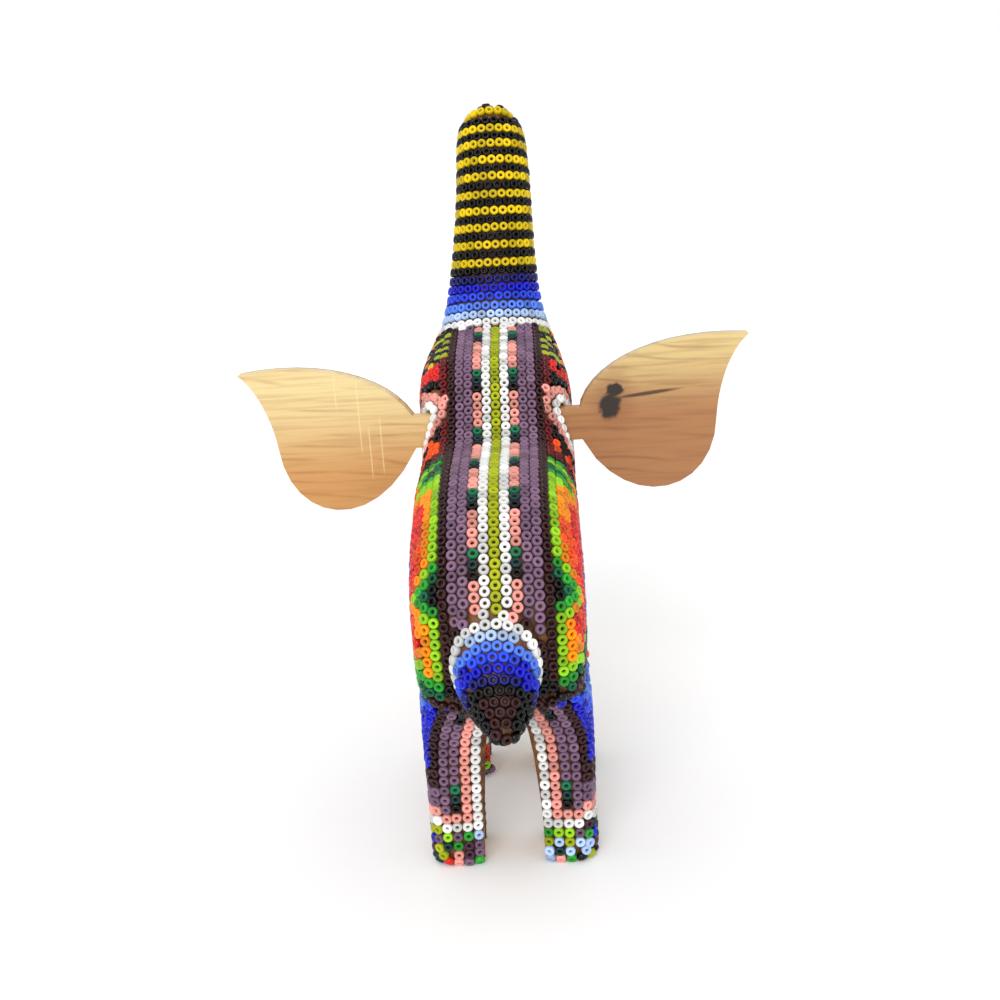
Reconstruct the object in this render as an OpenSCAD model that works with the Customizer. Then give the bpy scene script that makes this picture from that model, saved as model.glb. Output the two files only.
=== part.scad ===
// Beaded wooden elephant: one carved body, two push-in wooden ears, a thin wax coat and
// glass seed beads pressed into the wax. Millimetres, +Z up, the elephant faces +Y,
// soles at z = 0, origin under the middle of the figure.

/* [Layers] */
// Thickness of the bead layer, along a bead's hole
bead_thick = 1.4; // [1.2:0.1:1.6]
// Thickness of the wax between the wood and the beads
wax_thick = 0.5; // [0.3:0.1:0.7]

/* [Ears] */
// Thickness of an ear's wooden plate
ear_thick = 3; // [2.6:0.1:3.4]
// Height of an ear's centre above the soles
ear_z = 79; // [78.5:0.1:79.5]
// Distance of the ear plates in front of the hind heels
ear_y = 49.4; // [49:0.1:50]
// Height of the tab that pushes into the head
tab_h = 7.2; // [6:0.2:8]
// Turn of each ear from level: the left one droops, the right one lifts
ear_turn = 1.5; // [0:0.1:2]
// Gap round a tab in its slot
slot_gap = 0.3; // [0.2:0.05:0.4]

/* [Legs] */
// Height of the multicoloured foot band
foot_h = 9; // [8:0.5:10]
// Lowest edge of the beads above the ground
bead_base = 0.3; // [0.2:0.1:0.6]
// Distance from the hind heels to the rear of the front legs
front_leg_y = 35; // [34:0.5:36]

/* [Hidden] */

// Depth of the wood below the bead tops
coat = bead_thick + wax_thick;
// The hind heels stand this far behind the origin
mid_y = 37;

// Stations along the figure from the tail tip to the trunk tip. Each is a cross-section:
// [y, z] of its topmost point, measured from the hind heels, its lean from upright in
// degrees, its depth below that point, its half width, the squareness of its upper half
// and of its lower half, and how far the hand carving strays to the right.
stations = [
  [-21.4, 39.6, 50, 3.5, 2.2, 2, 2, 0.4], [-19.8, 45.3, 40, 10.5, 5.4, 2, 2, 0.1],
  [-16.6, 51.5, 24, 14.5, 7.2, 2, 2, -0.4], [-12.8, 57.3, 7, 18, 8.3, 2.1, 2.1, -0.7],
  [-10, 60.8, 0, 21, 8.8, 2.2, 2.2, -0.6], [-9.5, 61.6, 0, 23, 12, 2.4, 2.6, -0.4],
  [-8.2, 64, 0, 27.5, 14.6, 2.7, 3.4, -0.3], [-5, 67.6, 0, 32, 15.8, 2.9, 4.4, -0.3],
  [0.5, 73.2, 0, 38.2, 16.5, 3, 5, -0.3], [9, 77.4, 0, 42.9, 17, 3.1, 5, -0.4],
  [20, 79.1, 0, 44.6, 17.1, 3.3, 5, -0.6], [30, 79, 0, 44.5, 17.5, 3.5, 5, -0.8],
  [37, 79.8, 4, 45, 17.5, 3.5, 5, -0.8], [42.5, 84.3, 10, 45, 17.1, 3.1, 4, -0.5],
  [47, 90, 22, 37.5, 17.1, 2.9, 3, -0.4], [54, 94.4, 34, 31.5, 17.5, 2.8, 2.6, -0.7],
  [62, 96.2, 46, 28.5, 16.7, 2.6, 2.4, -1], [69.5, 98, 60, 26, 14.9, 2.4, 2.3, -0.9],
  [73.2, 101.2, 74, 21.5, 12.5, 2.3, 2.2, -0.6], [74.6, 107.4, 82, 19.2, 10.9, 2.2, 2.2, -0.3],
  [76.2, 116.8, 83, 17.4, 9.8, 2.2, 2.2, 0.3], [77.7, 126.6, 81, 16.2, 9.1, 2.2, 2.2, 0.8],
  [79.9, 136, 75, 15, 8.6, 2.2, 2.2, 1], [82.4, 141.8, 70, 13.8, 8.2, 2.2, 2.2, 1],
  [84.6, 145.6, 64, 11.6, 7, 2.1, 2.1, 0.9], [86.8, 148, 58, 6.4, 3.8, 2, 2, 0.8]
];

// Rings of the body grid: the stations and one more between each two
rings = 2 * len(stations) - 1;
// Points round a ring
around = 28;
// Cells either side of the top line that the straight back columns take
back_cells = 3;
// Ring numbers where one bead area gives way to the next
tail_end = 8;
head_start = 26;
band_start = 35;
trunk_start = 39;
// Cells round the belly that stay bare wood, and those of the chest and throat
belly_from = 12;
chest_from = 11;
chest_end = 34;
// The slot's bead rings cover these rings and these cells
slot_rings = [26, 29];
slot_cells = [3, 6];

// Leg levels: [z, inner x, outer x, rear y, front y], y measured from the heel
hind_levels = [
  [0, 4.5, 17.1, 0, 13], [bead_base, 4.5, 17.1, 0, 13], [foot_h, 4.3, 17, 0, 13],
  [16, 3.8, 17, 0, 13.4], [23, 3.1, 17.1, 0, 14], [28, 2.4, 17.1, -0.4, 14.8],
  [32, 1.6, 17, -1.8, 16], [36, 0.8, 16.8, -4, 17.4], [40, 0.4, 16.5, -6, 18.6],
  [45, 0.2, 15.6, -6, 18]
];
front_levels = [
  [0, 4.5, 17.1, 0, 13], [bead_base, 4.5, 17.1, 0, 13], [foot_h, 4.3, 17, 0, 13],
  [16, 3.8, 17, -0.2, 13.2], [23, 3.1, 17, -0.8, 13.6], [28, 2.4, 16.9, -1.6, 14.2],
  [32, 1.6, 16.7, -2.6, 15.2], [36, 0.8, 16.4, -3.4, 16.4], [40, 0.4, 16.1, -4, 17],
  [45, 0.2, 15.2, -4, 16.6]
];
leg_around = 20;
leg_squareness = 4;
// Levels between which the legs carry beads, and the bare cells on the inner face
leg_bead_levels = [1, 8];
bare_leg_cells = 2;
// Body beads stop at this height over a leg
hip_z = 41;

// --- small helpers ---
function mirror_cell(j, n) = min(j, n - 1 - j);
function unit(v) = v / norm(v);
function mid4(a, b, c, d) = (9 * (b + c) - a - d) / 16;
function clamp(i, hi) = max(0, min(hi, i));

// Radius at angle a of a squared oval with half sizes w and h
function oval_r(a, w, h, n) =
  pow(pow(abs(sin(a)) / w, n) + pow(abs(cos(a)) / h, n), -1 / n);

// Point of cubic Bezier curve p at t
function bezier(p, t) =
  pow(1 - t, 3) * p[0] + 3 * pow(1 - t, 2) * t * p[1]
  + 3 * (1 - t) * pow(t, 2) * p[2] + pow(t, 3) * p[3];

// --- body grid ---
function station(k) = stations[clamp(k, len(stations) - 1)];
function ring_data(i) =
  i % 2 == 0 ? station(i / 2)
  : mid4(station((i - 3) / 2), station((i - 1) / 2), station((i + 1) / 2), station((i + 3) / 2));

function ring_up(s) = [0, -sin(s[2]), cos(s[2])];
function ring_centre(s) = [s[7], s[0] - mid_y, s[1]] - ring_up(s) * s[3] / 2;
function ring_point(s, a) =
  let (r = oval_r(a, s[4], s[3] / 2, cos(a) > 0 ? s[5] : s[6]))
  ring_centre(s) + ring_up(s) * r * cos(a) + [r * sin(a), 0, 0];

body_top = [
  for (i = [0 : rings - 1])
    [for (j = [0 : around - 1]) ring_point(ring_data(i), 360 * j / around)]
];

function body_normal(i, j) =
  let (
    along = body_top[clamp(i + 1, rings - 1)][j] - body_top[clamp(i - 1, rings - 1)][j],
    round = body_top[i][(j + 1) % around] - body_top[i][(j + around - 1) % around]
  )
  unit(cross(round, along));

body_normals = [for (i = [0 : rings - 1]) [for (j = [0 : around - 1]) body_normal(i, j)]];

// The body grid sunk by depth below the bead tops, as one list
function body_layer(depth) =
  [for (i = [0 : rings - 1]) for (j = [0 : around - 1]) body_top[i][j] - depth * body_normals[i][j]];

// Middle points that close the tail tip and the trunk tip
function end_points(depth) = [
  ring_centre(station(0)) - (0.6 - depth) * [0, cos(station(0)[2]), sin(station(0)[2])],
  ring_centre(station(99)) + (0.7 - depth) * [0, cos(station(99)[2]), sin(station(99)[2])]
];

// --- faces ---
// Every face is a triangle, listed clockwise seen from outside
function flip(faces) = [for (f = faces) [f[0], f[2], f[1]]];

// A full closed grid of nr rings of na points, with the two end points after them
function closed_faces(nr, na) = flip([
  for (j = [0 : na - 1]) let (k = (j + 1) % na) each [
    for (i = [0 : nr - 2]) each [
      [i * na + j, i * na + k, (i + 1) * na + k],
      [i * na + j, (i + 1) * na + k, (i + 1) * na + j]
    ],
    [k, j, nr * na],
    [(nr - 1) * na + j, (nr - 1) * na + k, nr * na + 1]
  ]
]);

// Faces that join edge p to q of the outer layer to the same edge of the inner one. Two
// shells that share a wall split it along the same diagonal.
function wall(p, q, inner) =
  p < q ? [[q, p, p + inner], [q, p + inner, q + inner]]
  : [[q, p, q + inner], [p, p + inner, q + inner]];

// A shell over the cells that keep(i, j) accepts. The points are the outer grid with its two
// end points, then the inner grid with its two end points. Cell -1 and cell nr - 1 are the ends.
function shell_faces(nr, na, keep) =
  let (inner = nr * na + 2)
  flip([
    for (j = [0 : na - 1]) let (k = (j + 1) % na) each [
      for (i = [0 : nr - 2]) if (keep(i, j))
        let (a = i * na + j, b = i * na + k, c = b + na, d = a + na) each [
          [a, b, c], [a, c, d],
          [a + inner, c + inner, b + inner], [a + inner, d + inner, c + inner],
          if (!keep(i - 1, j)) each wall(a, b, inner),
          if (!keep(i + 1, j)) each wall(c, d, inner),
          if (!keep(i, k)) each wall(b, c, inner),
          if (!keep(i, (j + na - 1) % na)) each wall(d, a, inner)
        ],
      if (keep(-1, j)) each [[k, j, nr * na], [j + inner, k + inner, nr * na + inner]],
      if (keep(nr - 1, j)) each [
        [(nr - 1) * na + j, (nr - 1) * na + k, nr * na + 1],
        [(nr - 1) * na + k + inner, (nr - 1) * na + j + inner, nr * na + 1 + inner]
      ]
    ]
  ]);

// --- bead areas of the body ---
// True where a leg takes over from the flank
function over_leg(i, j) =
  let (p = (body_top[i][j] + body_top[clamp(i + 1, rings - 1)][(j + 1) % around]) / 2, y = p[1] + mid_y)
  p[2] < hip_z && (y < 17.5 || (y > front_leg_y - 2.6 && y < front_leg_y + 15.4));

function in_slot_ring(i, c) =
  i >= slot_rings[0] && i <= slot_rings[1] && c >= slot_cells[0] && c <= slot_cells[1];

// Name of the bead area that cell (i, j) belongs to
function area(i, j) =
  let (c = mirror_cell(j, around), side = j < around / 2 ? "right" : "left")
  i < tail_end ? "tail"
  : i >= trunk_start ? "trunk"
  : i >= band_start ? "band"
  : in_slot_ring(i, c) ? str("slot_", side)
  : c < back_cells ? "back"
  : i < head_start ? (c >= belly_from || over_leg(i, j) ? "bare" : str("flank_", side))
  : i < chest_end && c >= chest_from ? "chest"
  : str("cheek_", side);

module body_shell(depth_out, depth_in, keep) {
  polyhedron(
    points = concat(body_layer(depth_out), end_points(depth_out), body_layer(depth_in), end_points(depth_in)),
    faces = shell_faces(rings, around, keep),
    convexity = 6
  );
}

module body_solid(depth) {
  polyhedron(
    points = concat(body_layer(depth), end_points(depth)),
    faces = closed_faces(rings, around),
    convexity = 6
  );
}

module bead_area(name) {
  body_shell(0, bead_thick, function (i, j) area(i, j) == name);
}

// --- legs ---
// The legs are built on the +X side and mirrored
function leg_layer(levels, heel_y, depth) = [
  for (s = levels) for (j = [0 : leg_around - 1])
    let (
      a = 360 * j / leg_around,
      w = (s[2] - s[1]) / 2 - depth, h = (s[4] - s[3]) / 2 - depth,
      r = oval_r(a, h, w, leg_squareness)
    )
    [(s[1] + s[2]) / 2 - r * cos(a), heel_y - mid_y + (s[3] + s[4]) / 2 + r * sin(a), s[0]]
];

function leg_ends(levels, heel_y) =
  let (last = len(levels) - 1) [
    for (s = [levels[0], levels[last]])
      [(s[1] + s[2]) / 2, heel_y - mid_y + (s[3] + s[4]) / 2, s[0]]
  ];

// The lower levels of a leg, up to the top of its beads
function beaded_levels(levels) = [for (i = [0 : leg_bead_levels[1]]) levels[i]];

module leg_solid(levels, heel_y, depth) {
  polyhedron(
    points = concat(leg_layer(levels, heel_y, depth), leg_ends(levels, heel_y)),
    faces = flip(closed_faces(len(levels), leg_around)),
    convexity = 4
  );
}

// All four legs, with their bead coats where they have them and as bare wood above
module coated_legs() {
  for (side = ["left", "right"]) on_side(side) {
    leg_solid(beaded_levels(hind_levels), 0, 0);
    leg_solid(beaded_levels(front_levels), front_leg_y, 0);
    leg_solid(hind_levels, 0, coat);
    leg_solid(front_levels, front_leg_y, coat);
  }
}

// Body layers stop where a leg begins
module off_legs() {
  difference() {
    children();
    coated_legs();
  }
}

// A leg's coats stop at the body's wood
module off_body() {
  difference() {
    children();
    body_solid(coat);
  }
}

// A coat on the leg's outer, front and rear faces, from level lo to level hi
module leg_shell(levels, heel_y, depth_out, depth_in, lo, hi) {
  polyhedron(
    points = concat(
      leg_layer(levels, heel_y, depth_out), leg_ends(levels, heel_y),
      leg_layer(levels, heel_y, depth_in), leg_ends(levels, heel_y)
    ),
    faces = flip(shell_faces(len(levels), leg_around,
      function (i, j) i >= lo && i < hi && mirror_cell(j, leg_around) >= bare_leg_cells)),
    convexity = 6
  );
}

module on_side(side) {
  if (side == "left") mirror([1, 0, 0]) children();
  else children();
}

// --- ears ---
ear_root = 18.4;
tab_in = 9.6;
ear_curve_steps = 12;
// The two ears are cut by hand: three Bezier curves each, along the top, the outer edge
// and the lobe, as [x from the figure's middle plane, z from the ear's centre]
left_ear_edges = [
  [[18.6, 3.8], [23.3, 12.4], [38, 17.8], [55.8, 15.6]],
  [[55.8, 15.6], [52.1, 12.4], [49.5, 5], [49, -1.4]],
  [[49, -1.4], [48.3, -19], [30, -23.2], [18.8, -4.2]]
];
right_ear_edges = [
  [[18.6, 4.6], [22.5, 13.9], [38, 19], [55.4, 16.9]],
  [[55.4, 16.9], [50.7, 13.2], [48.5, 5.4], [47.9, -0.6]],
  [[47.9, -0.6], [47.1, -18.3], [28, -21.8], [18.6, -4.4]]
];

function curve_points(p) = [for (k = [0 : ear_curve_steps - 1]) bezier(p, k / ear_curve_steps)];

// Outline of an ear's blade, turned about its root
module turned_blade(side, turn) {
  edges = side == "left" ? left_ear_edges : right_ear_edges;
  translate([ear_root, 0]) rotate(turn) translate([-ear_root, 0])
    polygon(concat(
      [[ear_root, -3.6], [ear_root, 3.6]],
      [for (edge = edges) each curve_points(edge)]
    ));
}

// Lays a flat outline upright across the figure, from depth y0 to y1 of the ear plate
module upright(side, y0, y1) {
  on_side(side)
    translate([0, ear_y - mid_y + y1, ear_z]) rotate([90, 0, 0])
      linear_extrude(height = y1 - y0) children();
}

module ear(side, turn) {
  upright(side, -ear_thick / 2, ear_thick / 2) turned_blade(side, turn);
  upright(side, -ear_thick / 2, ear_thick / 2)
    translate([tab_in, -tab_h / 2]) square([ear_root + 2 - tab_in, tab_h]);
}

// A coat on an ear's front face
module ear_coat(side, turn, from, to) {
  upright(side, ear_thick / 2 + from, ear_thick / 2 + to) turned_blade(side, turn);
}

// The slots cut into the head for the ear tabs
module ear_slots() {
  for (side = ["left", "right"])
    on_side(side)
      translate([tab_in - 0.6, ear_y - mid_y - ear_thick / 2 - slot_gap, ear_z - tab_h / 2 - slot_gap])
        cube([14, ear_thick + 2 * slot_gap, tab_h + 2 * slot_gap]);
}

module slotted() {
  difference() {
    children();
    ear_slots();
  }
}

// --- mouth ---
// The open mouth is a wedge sawn under the trunk: [y, z] of its apex from the hind heels
mouth_apex = [78, 87.3];
// Slopes of its lower and upper faces, in degrees, and its reach forward
mouth_low_slope = -2;
mouth_high_slope = 29;
mouth_reach = 24;

// The wedge, shrunk by a coat of thickness t on both faces
module mouth_wedge(t) {
  half = (mouth_high_slope - mouth_low_slope) / 2;
  middle = (mouth_high_slope + mouth_low_slope) / 2;
  apex = mouth_apex + t / sin(half) * [cos(middle), sin(middle)];
  translate([-20, -mid_y, 0]) rotate([90, 0, 90]) linear_extrude(height = 40)
    polygon([
      apex,
      apex + mouth_reach * [cos(mouth_low_slope), sin(mouth_low_slope)],
      apex + mouth_reach * [cos(mouth_high_slope), sin(mouth_high_slope)]
    ]);
}

module with_mouth() {
  difference() {
    children();
    mouth_wedge(0);
  }
}

// --- nodes ---
module wood_body() {
  color("burlywood") with_mouth() slotted() union() {
    body_solid(coat);
    for (side = ["left", "right"]) on_side(side) {
      leg_solid(hind_levels, 0, coat);
      leg_solid(front_levels, front_leg_y, coat);
    }
  }
}
module ear_left() { color("wheat") ear("left", -ear_turn); }
module ear_right() { color("tan") ear("right", ear_turn); }

module body_wax() {
  color("goldenrod") with_mouth() slotted() off_legs()
    body_shell(bead_thick, coat, function (i, j) area(i, j) != "bare");
}
module leg_wax() {
  color("goldenrod") off_body() for (side = ["left", "right"]) on_side(side) {
    leg_shell(hind_levels, 0, bead_thick, coat, leg_bead_levels[0], leg_bead_levels[1]);
    leg_shell(front_levels, front_leg_y, bead_thick, coat, leg_bead_levels[0], leg_bead_levels[1]);
  }
}
module ear_wax_left() { color("goldenrod") ear_coat("left", -ear_turn, 0, wax_thick); }
module ear_wax_right() { color("goldenrod") ear_coat("right", ear_turn, 0, wax_thick); }

module tail_beads() { color("royalblue") bead_area("tail"); }
module back_beads() { color("rosybrown") bead_area("back"); }
module flank_beads_left() { color("limegreen") off_legs() bead_area("flank_left"); }
module flank_beads_right() { color("limegreen") off_legs() bead_area("flank_right"); }
module cheek_beads_left() { color("firebrick") with_mouth() bead_area("cheek_left"); }
module cheek_beads_right() { color("firebrick") with_mouth() bead_area("cheek_right"); }
module ear_slot_beads_left() { color("lightpink") slotted() bead_area("slot_left"); }
module ear_slot_beads_right() { color("lightpink") slotted() bead_area("slot_right"); }
module chest_beads() { color("darkorange") with_mouth() off_legs() bead_area("chest"); }
module mouth_beads() {
  color("crimson") intersection() {
    body_solid(bead_thick);
    difference() {
      mouth_wedge(0);
      mouth_wedge(coat);
    }
  }
}
module trunk_base_beads() { color("cornflowerblue") with_mouth() bead_area("band"); }
module trunk_beads() { color("gold") bead_area("trunk"); }

module leg_beads(side, levels, heel_y) {
  off_body() on_side(side) leg_shell(levels, heel_y, 0, bead_thick, 2, leg_bead_levels[1]);
}
module foot_beads(side, levels, heel_y) {
  on_side(side) leg_shell(levels, heel_y, 0, bead_thick, leg_bead_levels[0], 2);
}
module hind_leg_beads_left() { color("plum") leg_beads("left", hind_levels, 0); }
module hind_leg_beads_right() { color("plum") leg_beads("right", hind_levels, 0); }
module front_leg_beads_left() { color("plum") leg_beads("left", front_levels, front_leg_y); }
module front_leg_beads_right() { color("plum") leg_beads("right", front_levels, front_leg_y); }
module hind_foot_beads_left() { color("seagreen") foot_beads("left", hind_levels, 0); }
module hind_foot_beads_right() { color("seagreen") foot_beads("right", hind_levels, 0); }
module front_foot_beads_left() { color("seagreen") foot_beads("left", front_levels, front_leg_y); }
module front_foot_beads_right() { color("seagreen") foot_beads("right", front_levels, front_leg_y); }

module ear_beads_left() { color("orangered") ear_coat("left", -ear_turn, wax_thick, coat); }
module ear_beads_right() { color("orangered") ear_coat("right", ear_turn, wax_thick, coat); }

wood_body();
ear_left();
ear_right();
body_wax();
leg_wax();
ear_wax_left();
ear_wax_right();
tail_beads();
back_beads();
flank_beads_left();
flank_beads_right();
cheek_beads_left();
cheek_beads_right();
ear_slot_beads_left();
ear_slot_beads_right();
chest_beads();
mouth_beads();
trunk_base_beads();
trunk_beads();
hind_leg_beads_left();
hind_leg_beads_right();
front_leg_beads_left();
front_leg_beads_right();
hind_foot_beads_left();
hind_foot_beads_right();
front_foot_beads_left();
front_foot_beads_right();
ear_beads_left();
ear_beads_right();
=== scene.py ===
"""Beaded wooden elephant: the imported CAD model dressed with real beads, wax and wood."""
import math
import random

import bpy
import numpy as np
from mathutils import Matrix, Vector
from mathutils.bvhtree import BVHTree


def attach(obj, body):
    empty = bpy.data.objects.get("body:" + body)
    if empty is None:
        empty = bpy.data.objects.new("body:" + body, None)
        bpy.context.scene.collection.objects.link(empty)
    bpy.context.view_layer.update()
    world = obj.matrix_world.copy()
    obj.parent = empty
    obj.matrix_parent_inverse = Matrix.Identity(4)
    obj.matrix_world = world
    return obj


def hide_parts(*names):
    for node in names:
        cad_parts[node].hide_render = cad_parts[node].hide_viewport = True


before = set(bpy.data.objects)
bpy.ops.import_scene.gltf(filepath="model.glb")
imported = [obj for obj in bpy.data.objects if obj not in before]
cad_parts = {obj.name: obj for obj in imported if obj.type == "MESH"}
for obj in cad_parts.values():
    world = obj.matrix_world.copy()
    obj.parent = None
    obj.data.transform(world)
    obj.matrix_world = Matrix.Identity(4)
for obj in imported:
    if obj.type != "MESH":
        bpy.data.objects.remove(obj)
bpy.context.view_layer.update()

MM = 0.001
SIDES = {"left": -1, "right": 1}

# Bead sizes, in millimetres
PITCH = 2.11
ROW_PITCH = 1.96
COLUMN_PITCH = 2.0
LEG_ROW_PITCH = 2.13
LEG_COLUMN_PITCH = 2.16
BEAD_RADIUS = 1.07
HOLE_RADIUS = 0.33
BEAD_HEIGHT = 1.4
SEGMENTS = 14
PROFILE_POINTS = 8

random.seed(7)

# ---------------------------------------------------------------- bead colours
PALETTE = {
    "olive": (168, 178, 8), "white": (238, 238, 236), "salmon": (238, 158, 146),
    "mauve": (126, 96, 122), "brown": (50, 20, 22), "black": (5, 5, 8),
    "teal": (16, 50, 50), "accent_green": (16, 112, 74), "dark_green": (12, 92, 60),
    "green": (44, 160, 50), "lime": (150, 208, 30), "orange": (252, 148, 6),
    "red_orange": (240, 84, 22), "red": (222, 36, 30), "dark_red": (104, 18, 24),
    "yellow": (226, 196, 4), "royal": (18, 26, 190), "navy": (16, 20, 105),
    "blue": (42, 74, 226), "cornflower": (84, 130, 236),
    "pale_blue": (182, 208, 248), "plum": (74, 40, 62),
}
SHADES = (0.82, 0.93, 1.02)


def linear(rgb, gain=1.0):
    """An 8-bit sRGB colour as linear RGBA."""
    out = []
    for value in rgb:
        v = min(value * gain / 255.0, 1.0)
        out.append(v / 12.92 if v <= 0.04045 else ((v + 0.055) / 1.055) ** 2.4)
    return (*out, 1.0)


def bead_material(name, shade):
    """Opaque glossy glass, one of three batches of a colour."""
    material = bpy.data.materials.new(f"bead_{name}_{shade}")
    material.use_nodes = True
    shader = material.node_tree.nodes["Principled BSDF"]
    shader.inputs["Base Color"].default_value = linear(PALETTE[name], SHADES[shade])
    shader.inputs["Specular IOR Level"].default_value = 0.22
    shader.inputs["Coat Weight"].default_value = 0.04
    shader.inputs["Coat Roughness"].default_value = 0.06
    shader.inputs["IOR"].default_value = 1.52
    # Drawn glass: faint smears in its polish and slight waves from the cutting
    tree = material.node_tree
    spot = tree.nodes.new("ShaderNodeTexCoord")
    smears = tree.nodes.new("ShaderNodeTexNoise")
    smears.inputs["Scale"].default_value = 900.0
    smears.inputs["Detail"].default_value = 3.0
    tree.links.new(spot.outputs["Object"], smears.inputs["Vector"])
    polish = tree.nodes.new("ShaderNodeMapRange")
    polish.inputs["To Min"].default_value = 0.12 + 0.04 * shade
    polish.inputs["To Max"].default_value = 0.34 + 0.04 * shade
    tree.links.new(smears.outputs["Fac"], polish.inputs["Value"])
    tree.links.new(polish.outputs["Result"], shader.inputs["Roughness"])
    waves = tree.nodes.new("ShaderNodeBump")
    waves.inputs["Strength"].default_value = 0.12
    waves.inputs["Distance"].default_value = 0.00005
    tree.links.new(smears.outputs["Fac"], waves.inputs["Height"])
    tree.links.new(waves.outputs["Normal"], shader.inputs["Normal"])
    return material


BEAD_MATERIALS = {
    (name, shade): bead_material(name, shade) for name in PALETTE for shade in range(len(SHADES))
}


# ---------------------------------------------------------------- guide surface
def union_of_nodes(names, voxel):
    """One closed mesh round the named CAD nodes, as vertex and face lists."""
    copies = []
    for name in names:
        piece = bpy.data.objects.new("guide_" + name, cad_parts[name].data.copy())
        bpy.context.scene.collection.objects.link(piece)
        copies.append(piece)
    bpy.ops.object.select_all(action="DESELECT")
    for piece in copies:
        piece.select_set(True)
    bpy.context.view_layer.objects.active = copies[0]
    bpy.ops.object.join()
    guide = bpy.context.view_layer.objects.active
    remesh = guide.modifiers.new("remesh", "REMESH")
    remesh.mode = "VOXEL"
    remesh.voxel_size = voxel
    smooth = guide.modifiers.new("smooth", "SMOOTH")
    smooth.iterations = 6
    evaluated = guide.evaluated_get(bpy.context.evaluated_depsgraph_get())
    mesh = evaluated.to_mesh()
    vertices = [v.co.copy() for v in mesh.vertices]
    normals = [v.normal.copy() for v in mesh.vertices]
    faces = [tuple(p.vertices) for p in mesh.polygons]
    evaluated.to_mesh_clear()
    bpy.data.objects.remove(guide)
    return vertices, normals, faces


BEAD_NODES = [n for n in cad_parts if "beads" in n and not n.startswith("ear_beads")]
guide_vertices, guide_normals, guide_faces = union_of_nodes(["wood_body"] + BEAD_NODES, 0.55 * MM)
GUIDE = BVHTree.FromPolygons(guide_vertices, guide_faces)


def bead_coats():
    """One search tree over the CAD bead coats, and the node each of its faces is from."""
    vertices, faces, owners = [], [], []
    for name in BEAD_NODES:
        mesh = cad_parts[name].data
        base = len(vertices)
        vertices.extend(v.co.copy() for v in mesh.vertices)
        for polygon in mesh.polygons:
            faces.append([base + v for v in polygon.vertices])
            owners.append(name)
    return BVHTree.FromPolygons(vertices, faces), owners


COATS, COAT_OWNERS = bead_coats()
WOOD_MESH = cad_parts["wood_body"].data
WOOD = BVHTree.FromPolygons(
    [v.co.copy() for v in WOOD_MESH.vertices], [tuple(p.vertices) for p in WOOD_MESH.polygons])
FARTHEST_FROM_WOOD = 1.75


def on_wood(centre):
    """False for a bead that would hang in the air, where the guide bridges a hollow."""
    return WOOD.find_nearest(centre * MM)[3] <= FARTHEST_FROM_WOOD * MM


def owner_of(point, normal, reach=0.55):
    """The bead area a point of the surface lies on, or None on bare wood."""
    _, _, index, distance = COATS.find_nearest(Vector(point) * MM)
    at_hip = 35.0 < point.z < 46.0 and normal.z > -0.6
    if distance > (2.6 if at_hip else reach) * MM:
        return None
    owner = COAT_OWNERS[index]
    on_leg = "leg" in owner or "foot" in owner
    if on_leg and normal.x * point.x < -0.45 * abs(point.x):
        return None
    return owner


def lifted(point, normal):
    """Moves a point of bare wood out to where the tops of beads would be."""
    distance = COATS.find_nearest(Vector(point) * MM)[3] / MM
    return point + normal * (1.2 if distance > 0.7 else 0.0)


def outward_hit(origin, direction, reach=60.0):
    """Where a ray from inside leaves the guide, in millimetres, with the outward normal."""
    start = Vector(origin) * MM
    hit, normal, _, _ = GUIDE.ray_cast(start, Vector(direction).normalized(), reach * MM)
    if hit is None:
        return None
    if normal.dot(Vector(direction)) < 0:
        normal = -normal
    return hit / MM, normal


# ---------------------------------------------------------------- bead store
class BeadStore:
    """Beads placed so far, with a hash grid that refuses one too near another."""

    def __init__(self, least, allowed=None):
        self.least = least
        self.allowed = allowed
        self.cells = {}
        self.groups = {}

    def key(self, point):
        return tuple(int(math.floor(c / PITCH)) for c in point)

    def near(self, point, reach):
        """Every bead in the cells within some cells of the point's own."""
        i, j, k = self.key(point)
        span = range(-reach, reach + 1)
        for a in span:
            for b in span:
                for c in span:
                    yield from self.cells.get((i + a, j + b, k + c), ())

    def free(self, point, least):
        return all((other[0] - point).length >= least for other in self.near(point, 1))

    def add(self, group, point, normal, colour, least=None):
        centre = Vector(point) - normal * (BEAD_HEIGHT / 2)
        if self.allowed and not self.allowed(centre):
            return False
        if not self.free(centre, self.least if least is None else least):
            return False
        self.cells.setdefault(self.key(centre), []).append((centre, colour, group))
        self.groups.setdefault(group, []).append((centre, normal.copy(), colour))
        return True


store = BeadStore(0.84 * PITCH, on_wood)


def lay(point, normal, colour, least=None):
    """Presses one bead into the area its point lies on, if there is room."""
    owner = owner_of(point, normal)
    return owner is not None and store.add(owner, lifted(point, normal), normal, colour, least)


# ---------------------------------------------------------------- curves on the guide
def resample(points, normals, step, start=0.0):
    """Points and normals at equal steps along a polyline, with the distance of each."""
    out = []
    travelled = 0.0
    wanted = start
    for a, b, na, nb in zip(points, points[1:], normals, normals[1:]):
        length = (b - a).length
        while length > 0 and wanted <= travelled + length:
            f = (wanted - travelled) / length
            out.append((a.lerp(b, f), na.lerp(nb, f).normalized(), wanted))
            wanted += step
        travelled += length
    return out


def ring(pivot, axis, polar=90.0, rays=72):
    """Closed ring of hits round an axis through the pivot, starting on the rear side."""
    axis = Vector(axis).normalized()
    across = Vector((1, 0, 0))
    back = across.cross(axis).normalized()
    if back.y > 0:
        back = -back
    points, normals = [], []
    for k in range(rays + 1):
        a = math.tau * k / rays
        around = math.cos(a) * back + math.sin(a) * across
        p = math.radians(polar)
        found = outward_hit(pivot, math.cos(p) * axis + math.sin(p) * around)
        if found:
            points.append(found[0])
            normals.append(found[1])
    return points, normals


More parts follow.
